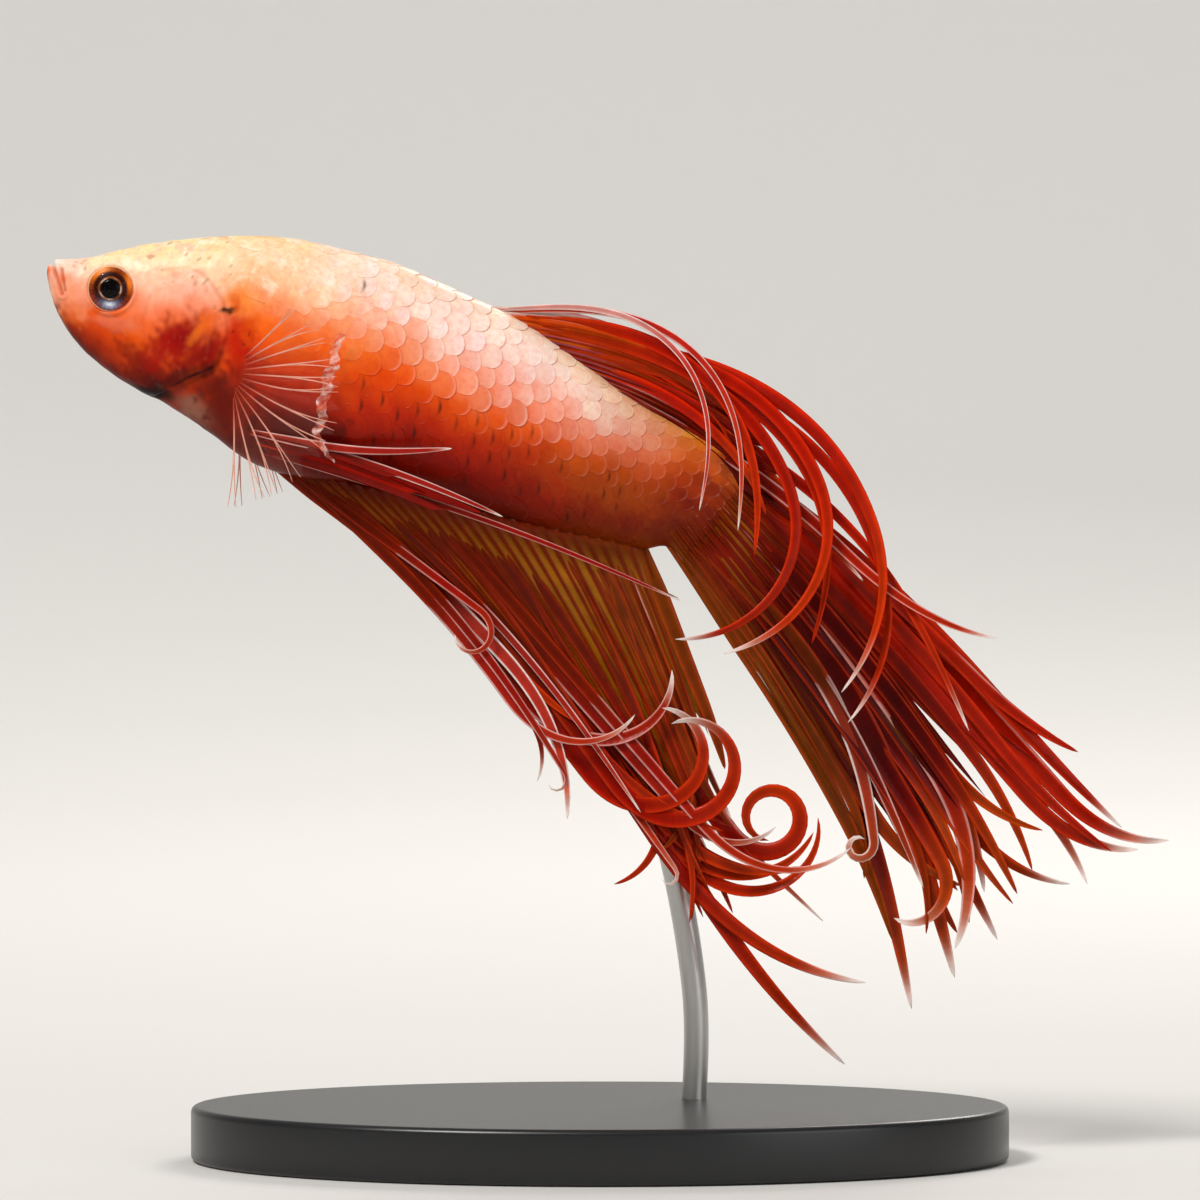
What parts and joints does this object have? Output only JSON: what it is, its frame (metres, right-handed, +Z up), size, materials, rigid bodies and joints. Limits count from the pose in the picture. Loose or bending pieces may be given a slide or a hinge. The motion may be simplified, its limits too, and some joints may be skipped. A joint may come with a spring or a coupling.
{
  "type": "betta fish model",
  "caption": "Life-size crowntail betta fish in a swimming pose with long trailing fins, held above a flat oval base by a slim bent rod.",
  "frame": {"origin": "centre of the oval base's underside, on the surface that the model stands on", "axes": "+X from the fish's head towards its tail, -Y towards the fish's left side, +Z up"},
  "size_m": [0.0715, 0.034, 0.0589],
  "materials": {
    "skin": "moist satin scales, cream on the back to orange-red on the flank",
    "fin": "translucent deep red membrane with olive stripes and pale ray tips",
    "clear_fin": "clear membrane on pinkish white rays",
    "eye": "wet gloss",
    "rod": "brushed",
    "base": "black acrylic, satin"
  },
  "bodies": {
    "root": {"head": "skin", "lower_jaw": "skin", "gill_cover_left": "skin", "gill_cover_right": "skin", "trunk": "skin", "tail_root": "skin", "eye_left": "eye", "eye_right": "eye", "dorsal_fin": "fin", "anal_fin": "fin", "caudal_fin": "fin", "pelvic_fin_left": "fin", "pelvic_fin_right": "fin", "pectoral_fin_left": "clear_fin", "pectoral_fin_right": "clear_fin", "stand_rod": "rod", "stand_base": "base"}
  },
  "joints": []
}
